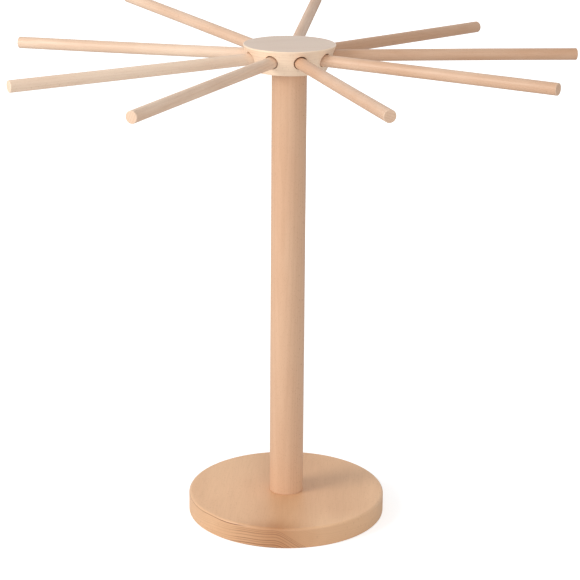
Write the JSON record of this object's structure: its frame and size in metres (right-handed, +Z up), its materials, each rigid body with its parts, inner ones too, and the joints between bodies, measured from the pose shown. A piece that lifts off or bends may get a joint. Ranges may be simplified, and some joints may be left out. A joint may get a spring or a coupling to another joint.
{
  "type": "pasta drying rack",
  "caption": "Free-standing wooden drying rack: a round base, an upright post and a tapered hub whose sockets hold loose rods that spread outwards and pull out for storage.",
  "frame": {"origin": "centre of the base's underside, on the surface that the rack stands on", "axes": "+Z up along the post, towards the hub; the front of the rack faces -Y"},
  "size_m": [0.5276, 0.5287, 0.4738],
  "materials": {
    "base_wood": "sanded bare beech",
    "post_wood": "sanded bare beech",
    "hub_wood": "sanded bare beech",
    "rod_wood": "sanded bare beech",
    "screw_steel": "zinc plated steel"
  },
  "bodies": {
    "stand": {"base": "base_wood", "base_screw": "screw_steel", "post": "post_wood", "hub": "hub_wood"},
    "rod_1": {"rod_1": "rod_wood"},
    "rod_2": {"rod_2": "rod_wood"},
    "rod_3": {"rod_3": "rod_wood"},
    "rod_4": {"rod_4": "rod_wood"},
    "rod_5": {"rod_5": "rod_wood"},
    "rod_6": {"rod_6": "rod_wood"},
    "rod_7": {"rod_7": "rod_wood"},
    "rod_8": {"rod_8": "rod_wood"},
    "rod_9": {"rod_9": "rod_wood"}
  },
  "joints": [
    {"name": "rod_1_pull", "type": "slide", "parent": "stand", "child": "rod_1", "axis": [-0.4687, -0.8834, 0], "range_m": [0, 0.03]},
    {"name": "rod_2_pull", "type": "slide", "parent": "stand", "child": "rod_2", "axis": [-0.8817, -0.4718, 0], "range_m": [0, 0.03]},
    {"name": "rod_3_pull", "type": "slide", "parent": "stand", "child": "rod_3", "axis": [-0.953, 0.3031, 0], "range_m": [0, 0.03]},
    {"name": "rod_4_pull", "type": "slide", "parent": "stand", "child": "rod_4", "axis": [-0.6155, 0.7835, 0.0854], "range_m": [0, 0.03]},
    {"name": "rod_5_pull", "type": "slide", "parent": "stand", "child": "rod_5", "axis": [0.1039, 0.9937, 0.0419], "range_m": [0, 0.03]},
    {"name": "rod_6_pull", "type": "slide", "parent": "stand", "child": "rod_6", "axis": [0.6983, 0.7158, 0], "range_m": [0, 0.03]},
    {"name": "rod_7_pull", "type": "slide", "parent": "stand", "child": "rod_7", "axis": [0.9899, 0.1418, 0], "range_m": [0, 0.03]},
    {"name": "rod_8_pull", "type": "slide", "parent": "stand", "child": "rod_8", "axis": [0.8394, -0.5434, 0], "range_m": [0, 0.03]},
    {"name": "rod_9_pull", "type": "slide", "parent": "stand", "child": "rod_9", "axis": [0.2988, -0.9543, 0], "range_m": [0, 0.03]}
  ]
}
